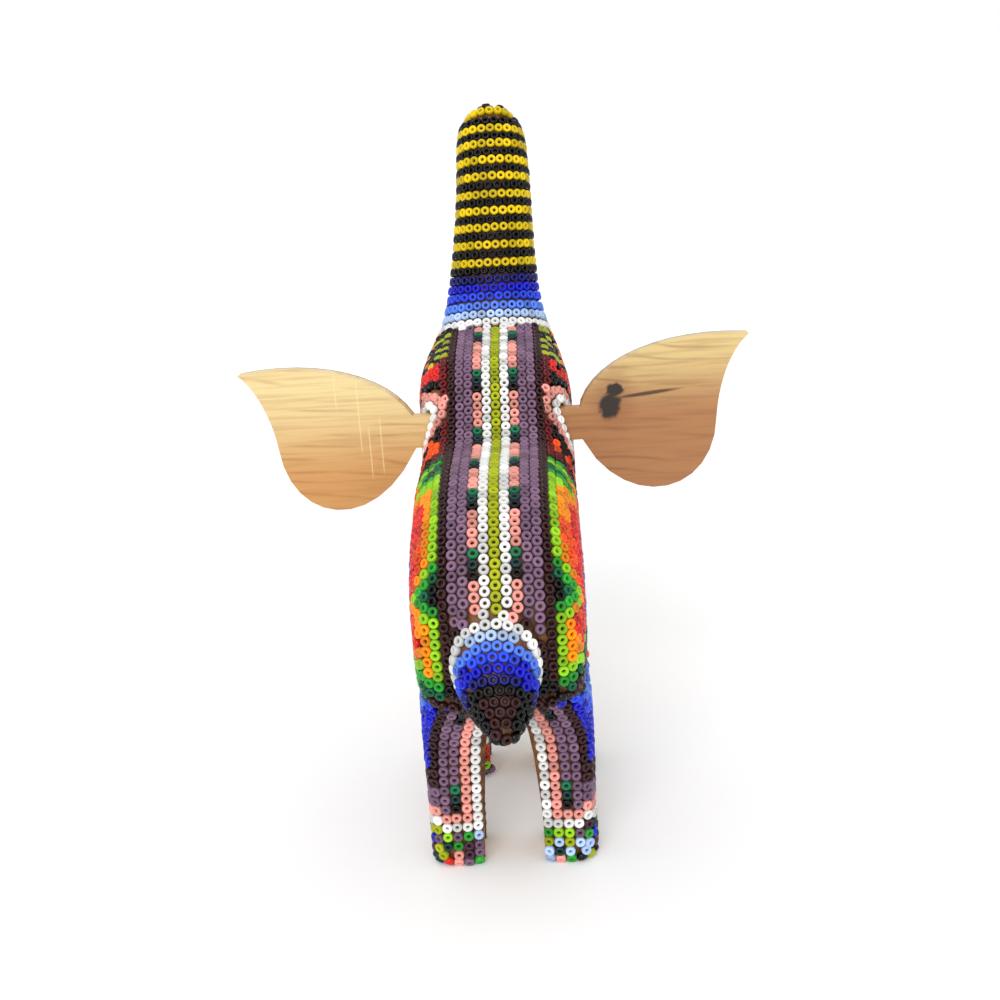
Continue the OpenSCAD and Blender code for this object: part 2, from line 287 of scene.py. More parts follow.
def curve_length(points):
    return sum((b - a).length for a, b in zip(points, points[1:]))


def bead_ring(points, normals, colour, shift=0.0, area=""):
    """Fills a closed ring with evenly spaced beads; colour is a name or f(fraction)."""
    length = curve_length(points)
    count = max(1, round(length / PITCH))
    step = length / count
    placed = resample(points, normals, step, start=step * shift)
    for point, normal, at_length in placed[:count]:
        name = colour(at_length / length) if callable(colour) else colour
        if area in (owner_of(point, normal) or ""):
            lay(point, normal, name, least=0.78 * PITCH)


# ---------------------------------------------------------------- shape landmarks
MID_Y = -37.0  # the hind heels, as in the CAD frame


def at(y, z):
    """A point in the middle plane, y measured from the hind heels."""
    return Vector((0.0, y + MID_Y, z))


def lean_up(lean):
    """Unit vector that leans back from upright by some degrees."""
    a = math.radians(lean)
    return Vector((0.0, -math.sin(a), math.cos(a)))


def lean_along(lean):
    """Unit vector square to lean_up, pointing forward."""
    a = math.radians(lean)
    return Vector((0.0, math.cos(a), math.sin(a)))


def along_path(stops, steps):
    """Smooth (pivot, lean) sections between stops of [y, z, lean]."""
    out = []
    count = len(stops) - 1
    for n in range(steps + 1):
        u = n / steps * count
        k = min(int(u), count - 1)
        f = u - k
        p0, p1, p2, p3 = (stops[max(0, min(count, k + d))] for d in (-1, 0, 1, 2))
        values = []
        for a, b, c, d in zip(p0, p1, p2, p3):
            values.append(
                0.5 * (2 * b + (c - a) * f + (2 * a - 5 * b + 4 * c - d) * f * f
                       + (3 * b - 3 * c + d - a) * f ** 3))
        out.append((at(values[0], values[1]), values[2]))
    return out


# ---------------------------------------------------------------- trunk and its blue base
TRUNK_STOPS = [
    (82.2, 95.0, 68), (83.6, 99.4, 75), (84.1, 106.1, 82), (84.8, 115.7, 83), (85.7, 125.3, 81),
    (87.1, 134.1, 75), (88.9, 139.4, 70), (89.8, 143.1, 64),
]
BAND_COLOURS = ["white", "pale_blue", "cornflower", "blue", "royal", "navy"]


def trunk_colour(row):
    if row < len(BAND_COLOURS):
        return BAND_COLOURS[row]
    return "black" if (row - len(BAND_COLOURS)) % 2 == 0 else "yellow"


def trunk_rings():
    """Rings up the trunk at equal steps along its rear face, then a rounded tip."""
    sections = along_path(TRUNK_STOPS, 240)
    travelled, row = 0.0, 0
    last = outward_hit(sections[0][0], lean_up(sections[0][1]))[0]
    for pivot, lean in sections:
        point = outward_hit(pivot, lean_up(lean))[0]
        travelled += (point - last).length
        last = point
        if travelled + 1e-6 >= row * ROW_PITCH:
            points, normals = ring(pivot, lean_along(lean))
            bead_ring(points, normals, trunk_colour(row), shift=0.5 * (row % 2))
            row += 1
    pivot, lean = sections[-1]
    for polar in (77, 58, 38, 16):
        points, normals = ring(pivot, lean_along(lean), polar)
        bead_ring(points, normals, trunk_colour(row) if polar > 70 else "black", 0.5 * (row % 2))
        row += 1


# ---------------------------------------------------------------- tail
TAIL_STOPS = [
    (-11.2, 48.8, 6), (-12.8, 46.4, 17), (-14.4, 44.0, 29), (-16.0, 41.9, 38), (-17.2, 40.9, 43)]
TAIL_COLOURS = ["white", "pale_blue", "cornflower", "blue", "royal", "navy", "black"]


def tail_tip_colour(fraction):
    """Brown on top of the tip, black down its sides and below."""
    return "brown" if min(fraction, 1 - fraction) < 0.12 else "black"


def tail_rings():
    """Rings from the tail's root out to its tip, the way the beads were laid."""
    sections = along_path(TAIL_STOPS, 120)
    travelled, row = 0.0, 0
    last = outward_hit(sections[0][0], lean_up(sections[0][1]))[0]
    for pivot, lean in sections:
        point = outward_hit(pivot, lean_up(lean))[0]
        travelled += (point - last).length
        last = point
        if travelled + 1e-6 >= row * ROW_PITCH:
            points, normals = ring(pivot, -lean_along(lean))
            name = TAIL_COLOURS[row] if row < len(TAIL_COLOURS) else tail_tip_colour
            bead_ring(points, normals, name, 0.5 * (row % 2), "tail")
            row += 1
    pivot, lean = sections[-1]
    for polar in (70, 48, 26, 8):
        points, normals = ring(pivot, -lean_along(lean), polar)
        bead_ring(points, normals, tail_tip_colour, 0.5 * (row % 2), "tail")
        row += 1


# ---------------------------------------------------------------- ear slots and eyes
EAR_Y, EAR_Z = 49.4, 79.0


def side_hit(side, y, z):
    """The guide's surface on one flank at height z, y from the hind heels."""
    sign = SIDES[side]
    start = Vector((0.0, y + MID_Y, z))
    return outward_hit(start, (sign, 0, 0))


def stadium(half_width, half_height, steps=72):
    """Points of an upright oval with straight sides, as (y, z) offsets."""
    straight = half_height - half_width
    out = []
    for k in range(steps + 1):
        a = math.tau * k / steps
        shift = straight if math.cos(a) > 0 else -straight
        out.append((half_width * math.sin(a), half_width * math.cos(a) + shift))
    return out


def in_slot(point):
    """True where a bead would stand in the way of an ear's tab."""
    aside = abs(point.y - MID_Y - EAR_Y)
    above = abs(point.z - EAR_Z)
    return abs(point.x) > 9.0 and aside < 3.1 and above < 5.5


def slot_rings(side):
    """A white ring round the ear slot and a salmon ring round that."""
    for half_width, half_height, colour in ((3.2, 5.6, "white"), (5.1, 7.5, "salmon")):
        points, normals = [], []
        for dy, dz in stadium(half_width, half_height):
            found = side_hit(side, EAR_Y + dy, EAR_Z + dz)
            if found:
                points.append(found[0])
                normals.append(found[1])
        bead_ring(points, normals, colour)


EYE_Y, EYE_Z = 69.0, 82.5


def eye(side):
    """A black pupil in a white ring, low on the face in front of the ear."""
    centre = side_hit(side, EYE_Y, EYE_Z)
    lay(centre[0], centre[1], "black")
    points, normals = [], []
    for k in range(49):
        a = math.tau * k / 48
        found = side_hit(side, EYE_Y + PITCH * math.sin(a), EYE_Z + PITCH * math.cos(a))
        if found:
            points.append(found[0])
            normals.append(found[1])
    bead_ring(points, normals, "white")


# ---------------------------------------------------------------- columns along the body
BODY_STOPS = [
    (3, 53, 132), (3, 53, 88), (3, 53, 50), (5, 53, 16), (12, 55, 0), (24, 57, 0), (36, 57.5, 3),
    (46.4, 62.1, 10), (54, 72.6, 22), (62.8, 81, 34), (72.2, 85.8, 46), (79.5, 90.5, 57),
    (82, 95.5, 66),
]
SECTION_COUNT = 300
# The rump as it would be without the tail: a plane this far behind the heels
RUMP_PLANE = -10.8
RAY_STEP = 2.0
# Run lengths of salmon and accent beads in the third column, from the tail
ACCENT_RUNS = (3, 3, 4, 3, 4, 3, 5, 3, 4, 3, 6, 3, 2)
ACCENTS = ("black", "teal", "accent_green")


def section_profile(pivot, lean, sign):
    """Hits from the top line down one side, cut where the surface jumps."""
    up = lean_up(lean)
    across = Vector((sign, 0, 0))
    points, normals = [], []
    for k in range(int(176 / RAY_STEP)):
        a = math.radians(k * RAY_STEP)
        direction = math.cos(a) * up + math.sin(a) * across
        found = outward_hit(pivot, direction)
        if found and found[0].y - MID_Y < RUMP_PLANE and direction.y < 0:
            reach = (RUMP_PLANE + MID_Y - pivot.y) / direction.y
            found = (pivot + direction * reach, Vector((0, -1, 0)))
        if found is None or (points and (found[0] - points[-1]).length > 3.5):
            break
        points.append(found[0])
        normals.append(found[1])
    return points, normals


def profile_at(profile, distance):
    """Point and normal of a section profile at a distance from the top line."""
    points, normals = profile
    travelled = 0.0
    for a, b, na, nb in zip(points, points[1:], normals, normals[1:]):
        length = (b - a).length
        if distance <= travelled + length:
            f = (distance - travelled) / max(length, 1e-6)
            return a.lerp(b, f), na.lerp(nb, f).normalized()
        travelled += length
    return None


def third_column_colour(index):
    run = 0
    for n, length in enumerate(ACCENT_RUNS):
        if index < run + length:
            return "salmon" if n % 2 == 0 else ACCENTS[(index - run) % 3]
        run += length
    return "salmon"


FLAME = ("black", "dark_green", "green", "lime", "orange", "red_orange", "red")
# How far the flames may rise at a distance from the tail's root, as a step of FLAME
FLANK_ENDS = ((-22, 0), (-10, 6), (-6, 9), (25, 9), (29, 6), (32.5, 4.4), (35.5, 3.4), (38.7, 2.4),
              (41.6, 1.2), (43.3, 2.4), (45, 3.4), (47, 2.4), (50, 0))
# The step of FLAME that the second flank column wears, with the notch between two flames
FLANK_EDGE = ((-12, 4.4), (-3, 4.4), (0, 3), (2, 1.9), (6, 1.9), (8, 3), (10, 4.2), (50, 4.2))
FLANK_END = 50.0


def stepped(stops, value):
    """Straight lines between stops of (place, value)."""
    return float(np.interp(value, [s[0] for s in stops], [s[1] for s in stops]))


ROSETTE = ("yellow", "red", "white", "cornflower", "royal")
ROSETTE_Y, ROSETTE_Z = 14.0, 56.0


def flank_colour(column, along, point):
    """Stepped flames near the back, and below them rings round a rosette."""
    if column <= 12:
        lower = max(0, column - 8) if along > 25 else 0
        level = min(stepped(FLANK_EDGE, along) + column - 7, stepped(FLANK_ENDS, along) + lower)
        return FLAME[min(len(FLAME) - 1, max(0, int(level)))]
    radius = math.hypot(point.y - MID_Y - ROSETTE_Y, point.z - ROSETTE_Z)
    if radius < 2.1 * len(ROSETTE):
        return ROSETTE[int(radius / 2.1)]
    return FLAME[max(0, 6 - int((radius - 2.1 * len(ROSETTE)) / 2.3))]


def wave(value, period):
    """Triangle wave from 0 to 1."""
    f = (value / period) % 1.0
    return 2 * f if f < 0.5 else 2 - 2 * f


def cheek_colour(column, along, point):
    """Black ground with red clusters by the ear and slanting stripes in front of it."""
    y, z = point.y - MID_Y, point.z
    dy, dz = y - EAR_Y, z - EAR_Z
    ring_distance = math.hypot(dy, dz * 0.8)
    if column <= 6 and abs(dz) < 16 and dy < 8:
        return "dark_red"
    if ring_distance < 9.5:
        return "black"
    if ring_distance < 13.0:
        return "red" if abs(dz) > 6 else "red_orange"
    if dy > 4 and column > 11:
        from_eye = math.hypot(y - EYE_Y, z - EYE_Z) - 4.0
        return FLAME[max(0, min(6, 6 - int(from_eye / 2.6)))]
    if dy > 4:
        phase = (along - 0.8 * column * PITCH) / (2.0 * PITCH)
        if phase % 1.0 < 0.5:
            return "black"
        return ("olive", "yellow", "orange", "red_orange")[min(3, max(0, column - 7))]
    if dy < -8:
        return "dark_red" if column % 2 else "black"
    return "black" if ring_distance < 15 else FLAME[int(wave(ring_distance, 24) * 6.9)]


def chest_colour(column, along):
    """Chevrons that point down the throat."""
    return FLAME[int(wave(along * 0.9 + column * PITCH * 0.8, 26) * 6.9)]


COLUMN_COLOURS = ("olive", "white", None, "mauve", "mauve", "brown")


def column_colour(column, index, along, point, owner):
    """Colour of one bead: columns count from the spine, index from the tail's root."""
    if column < len(COLUMN_COLOURS):
        if index < 0:
            return rump_colour(column, index)
        name = COLUMN_COLOURS[column]
        return third_column_colour(index) if name is None else name
    if owner == "chest_beads":
        return chest_colour(column, along)
    if along > FLANK_END:
        return cheek_colour(column, along, point)
    return flank_colour(column, along, point)


def body_columns():
    """Columns of beads at equal distances from the top line, tail to trunk."""
    sections = along_path(BODY_STOPS, SECTION_COUNT)
    for side, sign in SIDES.items():
        profiles = [section_profile(p, l, sign) for p, l in sections]
        top = [profile[0][0] for profile in profiles]
        travelled = [0.0]
        for a, b in zip(top, top[1:]):
            travelled.append(travelled[-1] + (b - a).length)
        root = next(i for i, p in enumerate(top) if p.z > 59.9)
        for column in range(0, 36):
            if column > 0 or side == "right":
                lay_column(column, side, profiles, travelled, travelled[root])


def lay_column(column, side, profiles, travelled, origin):
    """One column, cut into stretches where the surface stops."""
    stretch = []
    for profile, distance in zip(profiles + [([], [])], travelled + [0.0]):
        found = profile_at(profile, column * COLUMN_PITCH) if profile[0] else None
        if found is None and column == 0 and profile[0]:
            found = (profile[0][0], profile[1][0])
        jump = found and stretch and (found[0] - stretch[-1][0]).length > 4
        if (found is None or jump) and stretch:
            lay_stretch(column, side, stretch, origin)
            stretch = []
        if found:
            stretch.append((found[0], found[1], distance))


def lay_stretch(column, side, stretch, origin):
    """Beads at equal steps along one stretch of a column."""
    points = [s[0] for s in stretch]
    normals = [s[1] for s in stretch]
    lengths = [0.0]
    for a, b in zip(points, points[1:]):
        lengths.append(lengths[-1] + (b - a).length)
    if lengths[-1] < PITCH:
        return
    distances = [s[2] for s in stretch]
    # The bead nearest the tail's root counts as number 0
    zero = float(np.interp(origin, distances, lengths))
    start = (zero + 0.5 * PITCH * (column % 2)) % PITCH
    for point, normal, at_length in resample(points, normals, PITCH, start):
        owner = owner_of(point, normal)
        index = round((at_length - zero) / PITCH)
        if owner is None or in_slot(point):
            continue
        if any(word in owner for word in ("leg", "foot", "trunk", "mouth")):
            continue
        if owner == "tail_beads" and (index < 0 or point.z < 59.0):
            continue
        along = float(np.interp(at_length, lengths, distances)) - origin
        name = column_colour(column, index, along, point, owner)
        lay(point, normal, name, least=(0.8 if column < 7 else 0.84) * PITCH)


def rump_colour(column, index):
    """Beside the tail the mauve and brown columns run on a little, then end in black."""
    if column in (3, 4) and index > -4:
        return "mauve"
    return "brown" if column == 5 and index > -7 else "black"


# ---------------------------------------------------------------- legs
LEG_CENTRE_X = 10.8
LEG_TOP = 43.0
FOOT_ROWS = 4
FOOT_COLOURS = {
    "hind_left": (
        "green mauve salmon red teal", "plum plum salmon black olive",
        "mauve plum green teal mauve", "pale_blue green mauve lime olive"),
    "hind_right": (
        "pale_blue salmon green black olive", "pale_blue teal pale_blue royal pale_blue",
        "olive pale_blue olive pale_blue green", "green lime lime mauve plum"),
}
FOOT_MIX = (
    "olive", "lime", "mauve", "green", "pale_blue", "teal", "plum", "black", "salmon", "red", "royal")


def leg_profile(sign, centre_y, z, facing):
    """Hits round a leg at height z from its inner edge at the rear (facing -1) or front (+1)."""
    points, normals = [], []
    pivot = Vector((sign * LEG_CENTRE_X, centre_y + MID_Y, z))
    for k in range(0, 70):
        a = math.radians(-44 + 2.0 * k)
        direction = (sign * math.sin(a), facing * math.cos(a), 0)
        found = outward_hit(pivot, direction)
        if found is None:
            continue
        if points and (found[0] - points[-1]).length > 3:
            break
        points.append(found[0])
        normals.append(found[1])
    return points, normals


def leg_colour(leg, facing, column, row):
    """Columns of a leg from its inner edge, rows from the ground."""
    if row < FOOT_ROWS:
        rows = FOOT_COLOURS.get(leg)
        if rows and facing < 0 and column < 5:
            return rows[row].split()[column]
        return random.choice(FOOT_MIX)
    if row == FOOT_ROWS:
        return "white"
    if column == 0:
        return "white"
    if row == FOOT_ROWS + 1 or column == 1:
        return "salmon"
    if row > 17:
        return "brown" if row == 18 else "black"
    if column == 2:
        if row in (6, 7, 8):
            return ACCENTS[row - 6]
        if row in (15, 16, 17):
            return ACCENTS[row - 15]
        return "mauve"
    if column == 3 or (column >= 4 and row < 8):
        return "mauve"
    if column == 4 or row < 10:
        return "brown"
    return ("royal", "royal", "blue", "cornflower")[min(3, column - 5)]


def dress_leg(end, side, centre_y):
    """Rear and outer half, then front and outer half."""
    sign = SIDES[side]
    leg = f"{end}_{side}"
    levels = [0.3 + 0.4 * k for k in range(int((LEG_TOP + 6) / 0.4))]
    for facing in (-1, 1):
        profiles = [leg_profile(sign, centre_y, z, facing) for z in levels]
        for column in range(0, 9):
            points, normals = [], []
            for profile in profiles:
                if len(profile[0]) <= 3:
                    continue
                found = profile_at(profile, 1.5 + column * LEG_COLUMN_PITCH)
                if found:
                    points.append(found[0])
                    normals.append(found[1])
            for point, normal, _ in resample(points, normals, LEG_ROW_PITCH, 1.0):
                # By height, because the outermost columns only start near the hip
                row = max(0, round((point.z - 1.3) / LEG_ROW_PITCH))
                if point.z > LEG_TOP or point.x * sign < 1.0:
                    continue
                name = leg_colour(leg, facing, column, row)
                lay(point, normal, name, least=0.78 * PITCH)


# ---------------------------------------------------------------- gaps
def plain_colour(owner):
    """What an area wears where no bead lies near enough to copy."""
    for word, name in (("mouth", "red"), ("chest", "orange"), ("foot", "olive"), ("flank", "red")):
        if word in owner:
            return name
    return "black"


def fill_colour(owner, point):
    """The colour of the nearest bead of the same area; round the tail's root, the column's."""
    if owner == "tail_beads" and point.z > 57.5:
        column = round(abs(point.x + 0.5) / COLUMN_PITCH)
        return COLUMN_COLOURS[min(5, column)] or "salmon"
    if owner == "tail_beads" and point.y - MID_Y > -11.4:
        return "brown"
    beside = [b for b in store.near(point, 2) if b[2] == owner]
    if not beside:
        return plain_colour(owner)
    return min(beside, key=lambda b: (b[0] - point).length)[1]


def fill_gaps():
    """Beads wherever the columns and rings leave room for one, coloured like their neighbour."""
    least = 0.78 * PITCH
    for vertex, normal in zip(guide_vertices, guide_normals):
        point = lifted(vertex / MM, normal)
        if in_slot(point) or not store.free(point - normal * (BEAD_HEIGHT / 2), least):
            continue
        owner = owner_of(vertex / MM, normal, 0.35)
        if owner is None:
            continue
        store.add(owner, point, normal, fill_colour(owner, point), least)


# ---------------------------------------------------------------- bead meshes
def bead_template():
    """Vertices and quads of one bead, its hole along Z, in millimetres."""
    middle = (BEAD_RADIUS + HOLE_RADIUS) / 2
    half = (BEAD_RADIUS - HOLE_RADIUS) / 2
    vertices, faces = [], []
    for s in range(SEGMENTS):
        a = math.tau * s / SEGMENTS
        for p in range(PROFILE_POINTS):
            b = math.tau * p / PROFILE_POINTS
            cb, sb = math.cos(b), math.sin(b)
            r = middle + half * math.copysign(abs(cb) ** 0.85, cb)
            h = BEAD_HEIGHT / 2 * math.copysign(abs(sb) ** 0.85, sb)
            vertices.append((r * math.cos(a), r * math.sin(a), h))
    for s in range(SEGMENTS):
        t = (s + 1) % SEGMENTS
        for p in range(PROFILE_POINTS):
            q = (p + 1) % PROFILE_POINTS
            corner = PROFILE_POINTS
            faces.append((s * corner + p, t * corner + p, t * corner + q, s * corner + q))
    return np.array(vertices), np.array(faces)


BEAD_VERTICES, BEAD_FACES = bead_template()


def bead_turn(normal):
    """Rotation that points a bead's hole along the normal, with a small random tilt."""
    tilt = Vector([random.gauss(0, 0.05) for _ in range(3)])
    axis = (normal + tilt).normalized()
    turn = axis.to_track_quat("Z", "Y").to_matrix()
    return np.array(turn)


def bead_piece(name, beads):
    """One mesh of many beads, one material slot for each batch of glass used."""
    count = len(beads)
    per = len(BEAD_VERTICES)
    vertices = np.empty((count * per, 3))
    slots = {}
    face_slots = np.empty(count * len(BEAD_FACES), dtype=np.int32)
    for n, (centre, normal, colour) in enumerate(beads):
        size = random.uniform(0.965, 1.02)
        tall = random.uniform(0.92, 1.06)
        local = BEAD_VERTICES * np.array((size, size, tall))
        place = centre + Vector([random.gauss(0, 0.03) for _ in range(3)])
        vertices[n * per:(n + 1) * per] = (local @ bead_turn(normal).T + np.array(place)) * MM
        shade = random.choice((0, 1, 1, 2))
        slot = slots.setdefault((colour, shade), len(slots))
        face_slots[n * len(BEAD_FACES):(n + 1) * len(BEAD_FACES)] = slot
    faces = (BEAD_FACES[None] + (np.arange(count) * per)[:, None, None]).reshape(-1, 4)
    mesh = bpy.data.meshes.new(name)
    mesh.from_pydata(vertices.tolist(), [], faces.tolist())
    for key in slots:
        mesh.materials.append(BEAD_MATERIALS[key])
    mesh.polygons.foreach_set("material_index", face_slots)
    mesh.polygons.foreach_set("use_smooth", np.ones(len(faces), dtype=bool))
    mesh.update()
    piece = bpy.data.objects.new(name, mesh)
    bpy.context.scene.collection.objects.link(piece)
    return piece


# ---------------------------------------------------------------- ears
def ear_outline(side):
    """The blade's outline as (x, z) points, from the bead coat's CAD node."""
    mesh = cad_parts["ear_beads_" + side].data
    front = max(v.co.y for v in mesh.vertices)
    # Packed corners may be doubled, so they are matched by place
    def spot(v):
        co = mesh.vertices[v].co
        return (round(co.x / MM, 3), round(co.z / MM, 3))
    border = {}
    counts = {}
    for polygon in mesh.polygons:
        if all(abs(mesh.vertices[v].co.y - front) < 1e-6 for v in polygon.vertices):
            loop = [spot(v) for v in polygon.vertices]
            for a, b in zip(loop, loop[1:] + loop[:1]):
                counts[frozenset((a, b))] = counts.get(frozenset((a, b)), 0) + 1
    for pair, times in counts.items():
        if times == 1 and len(pair) == 2:
            a, b = tuple(pair)
            border.setdefault(a, []).append(b)
            border.setdefault(b, []).append(a)
    start = min(border)
    outline, last = [start], None
    while True:
        ahead = [p for p in border[outline[-1]] if p != last]
        last = outline[-1]
        if not ahead or ahead[0] == start:
            break
        outline.append(ahead[0])
        if len(outline) > len(border):
            break
    return outline, front / MM


def distance_to_outline(point, outline):
    best = 1e9
    for a, b in zip(outline, outline[1:] + outline[:1]):
        ax, az = a
        bx, bz = b
        dx, dz = bx - ax, bz - az
        f = ((point[0] - ax) * dx + (point[1] - az) * dz) / max(dx * dx + dz * dz, 1e-9)
        f = max(0.0, min(1.0, f))
        best = min(best, math.hypot(point[0] - ax - f * dx, point[1] - az - f * dz))
    return best


def inside_outline(point, outline):
    inside = False
    x, z = point
    for (ax, az), (bx, bz) in zip(outline, outline[1:] + outline[:1]):
        if (az > z) != (bz > z) and x < (bx - ax) * (z - az) / (bz - az) + ax:
            inside = not inside
    return inside


EAR_RING_COLOURS = ("black", "dark_green", "green", "lime", "orange", "red_orange", "red", "white")


def dress_ear(side):
    """Rings of beads that follow the blade's outline on its front face."""
    outline, front = ear_outline(side)
    closed = outline + outline[:1]
    normal = Vector((0, 1, 0))
    beads = BeadStore(0.9 * PITCH)
    for n in range(9):
        inset = 1.25 + n * ROW_PITCH
        loop = []
        for (ax, az), (bx, bz) in zip(closed, closed[1:]):
            length = math.hypot(bx - ax, bz - az)
            if length < 1e-6:
                continue
            nx, nz = -(bz - az) / length, (bx - ax) / length
            steps = max(1, int(length / 0.3))
            for k in range(steps):
                f = k / steps
                for turn in (1, -1):
                    p = (ax + (bx - ax) * f + turn * nx * inset, az + (bz - az) * f + turn * nz * inset)
                    if inside_outline(p, outline) and distance_to_outline(p, outline) > inset - 0.05:
                        loop.append(p)
        for p in loop:
            name = EAR_RING_COLOURS[min(n, len(EAR_RING_COLOURS) - 1)]
            beads.add("ear", Vector((p[0], front, p[1])), normal, name)
    return beads.groups["ear"]


# ---------------------------------------------------------------- wood, wax and floor
def node_material(name):
    material = bpy.data.materials.new(name)
    material.use_nodes = True
    tree = material.node_tree
    return material, tree, tree.nodes["Principled BSDF"]


def calc(tree, operation, *values):
    """A maths node; each value is a number or another node's output."""
    node = tree.nodes.new("ShaderNodeMath")
    node.operation = operation
    for socket, value in zip(node.inputs, values):
        if isinstance(value, (int, float)):
            socket.default_value = value
        else:
            tree.links.new(value, socket)
    return node.outputs[0]


def fade(tree, value, low, high):
    """0 at low, 1 at high, smooth between; low may be the larger."""
    node = tree.nodes.new("ShaderNodeMapRange")
    node.interpolation_type = "SMOOTHSTEP"
    node.inputs["From Min"].default_value = low
    node.inputs["From Max"].default_value = high
    tree.links.new(value, node.inputs["Value"])
    return node.outputs["Result"]


def blend(tree, amount, first, second):
    """Colour between two; each is an sRGB triple or another node's output."""
    node = tree.nodes.new("ShaderNodeMix")
    node.data_type = "RGBA"
    tree.links.new(amount, node.inputs[0])
    for socket, value in ((node.inputs[6], first), (node.inputs[7], second)):
        if isinstance(value, tuple):
            socket.default_value = linear(value)
        else:
            tree.links.new(value, socket)
    return node.outputs[2]


def place_in_mm(tree):
    """The X, Y and Z of a point of the object, in millimetres."""
    place = tree.nodes.new("ShaderNodeTexCoord")
    parts = tree.nodes.new("ShaderNodeSeparateXYZ")
    tree.links.new(place.outputs["Object"], parts.inputs["Vector"])
    return [calc(tree, "MULTIPLY", parts.outputs[i], 1000.0) for i in range(3)]


def streaks(tree, axes, scales, detail=5.0):
    """Noise stretched by a scale per axis, in cycles per millimetre."""
    joined = tree.nodes.new("ShaderNodeCombineXYZ")
    for socket, axis, scale in zip(joined.inputs, axes, scales):
        tree.links.new(calc(tree, "MULTIPLY", axis, scale), socket)
    noise = tree.nodes.new("ShaderNodeTexNoise")
    noise.inputs["Scale"].default_value = 1.0
    noise.inputs["Detail"].default_value = detail
    tree.links.new(joined.outputs["Vector"], noise.inputs["Vector"])
    return noise.outputs["Fac"]


def spot_mask(tree, x, z, centre, sizes, soft):
    """1 inside an oval, 0 outside."""
    dx = calc(tree, "DIVIDE", calc(tree, "SUBTRACT", x, centre[0]), sizes[0])
    dz = calc(tree, "DIVIDE", calc(tree, "SUBTRACT", z, centre[1]), sizes[1])
    squares = calc(tree, "ADD", calc(tree, "MULTIPLY", dx, dx), calc(tree, "MULTIPLY", dz, dz))
    reach = calc(tree, "SQRT", squares)
    return fade(tree, reach, 1.0 + soft, 1.0 - soft)


def grained_wood(name, top, low, line, levels, scales):
    """Boards: a tone that deepens downward, fine streaks and darker growth lines."""
    material, tree, shader = node_material(name)
    x, y, z = place_in_mm(tree)
    tone = blend(tree, fade(tree, z, levels[1], levels[0]), top, low)
    fine = streaks(tree, (x, y, z), scales, 8.0)
    tone = blend(tree, calc(tree, "MULTIPLY", fade(tree, fine, 0.42, 0.72), 0.3), tone, line)
    bend = calc(tree, "MULTIPLY", streaks(tree, (x, y, z), (0.03, 0.05, 0.08), 2.0), 5.0)
    slope = calc(tree, "MULTIPLY", x, 0.09)
    across = calc(tree, "ADD", calc(tree, "ADD", z, bend), slope)
    swing = calc(tree, "ABSOLUTE", calc(tree, "SINE", calc(tree, "MULTIPLY", across, 1.1)))
    rings = calc(tree, "POWER", swing, 16.0)
    strength = fade(tree, streaks(tree, (x, y, z), (0.06, 0.1, 0.35), 2.0), 0.4, 0.68)
    tone = blend(tree, calc(tree, "MULTIPLY", calc(tree, "MULTIPLY", rings, strength), 0.5), tone, line)
    tree.links.new(tone, shader.inputs["Base Color"])
    shader.inputs["Roughness"].default_value = 0.42
    shader.inputs["Specular IOR Level"].default_value = 0.4
    return material, tree, shader, (x, y, z), tone


def left_ear_wood():
    """Pale straw board with upright saw scratches."""
    material, tree, shader, (x, _, z), tone = grained_wood(
        "ear_wood_left", (226, 203, 146), (200, 146, 84), (160, 104, 52), (68, 90), (0.05, 0.3, 1.6))
    for place, low, high in ((-35.2, 84, 95), (-30.4, 74, 93), (-28.5, 68, 82), (-25.9, 69, 84)):
        drift = calc(tree, "ABSOLUTE", calc(tree, "SUBTRACT", x, place))
        line = fade(tree, drift, 0.2, 0.07)
        middle, half = (low + high) / 2, (high - low) / 2
        extent = fade(tree, calc(tree, "ABSOLUTE", calc(tree, "SUBTRACT", z, middle)), half, half - 3)
        amount = calc(tree, "MULTIPLY", calc(tree, "MULTIPLY", line, extent), 0.5)
        tone = blend(tree, amount, tone, (240, 218, 158))
    tree.links.new(tone, shader.inputs["Base Color"])
    return material


def right_ear_wood():
    """Browner board with a dark knot near the root and a crack that runs out from it."""
    material, tree, shader, (x, y, z), tone = grained_wood(
        "ear_wood_right", (216, 190, 130), (168, 116, 72), (122, 78, 44), (79, 97), (0.06, 0.3, 1.3))
    rough = streaks(tree, (x, y, z), (0.6, 0.6, 0.6), 3.0)
    wobble = calc(tree, "MULTIPLY", calc(tree, "SUBTRACT", rough, 0.5), 2.2)
    knot_x = calc(tree, "ADD", x, wobble)
    knot_z = calc(tree, "ADD", z, wobble)
    halo = spot_mask(tree, knot_x, knot_z, (25.6, 84.2), (4.4, 6.4), 0.5)
    tone = blend(tree, calc(tree, "MULTIPLY", halo, 0.4), tone, (138, 84, 50))
    line_z = calc(tree, "SUBTRACT", z, calc(tree, "MULTIPLY", calc(tree, "SUBTRACT", x, 27.0), 0.1))
    crack = spot_mask(tree, x, line_z, (33.0, 84.4), (6.6, 0.42), 0.45)
    tone = blend(tree, calc(tree, "MULTIPLY", crack, 0.9), tone, (66, 40, 26))
    for centre, sizes in (((24.8, 82.6), (2.3, 2.8)), ((26.0, 86.3), (1.9, 1.5))):
        tone = blend(tree, spot_mask(tree, knot_x, knot_z, centre, sizes, 0.22), tone, (46, 34, 29))
    tree.links.new(tone, shader.inputs["Base Color"])
    return material


